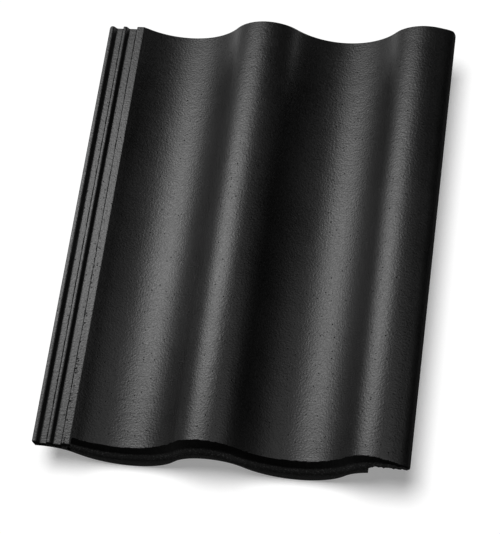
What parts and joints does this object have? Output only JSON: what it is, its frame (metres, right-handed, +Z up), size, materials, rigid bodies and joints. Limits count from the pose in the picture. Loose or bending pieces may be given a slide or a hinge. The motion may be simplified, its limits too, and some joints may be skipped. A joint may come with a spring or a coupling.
{
  "type": "roof pantile",
  "caption": "Interlocking concrete roof tile with a double S-wave, a channelled under-lap on the left edge, an over-lap on the right and a deep rounded tail.",
  "frame": {"origin": "middle of the tile's outline seen from above, at floor level under the foot and nibs", "axes": "+X across the waves from the under-lap to the over-lap, +Y from the tail to the head, +Z up from the floor"},
  "size_m": [0.332, 0.42, 0.0635],
  "materials": {
    "concrete": "satin black coated concrete"
  },
  "bodies": {
    "root": {"pantile": "concrete"}
  },
  "joints": []
}
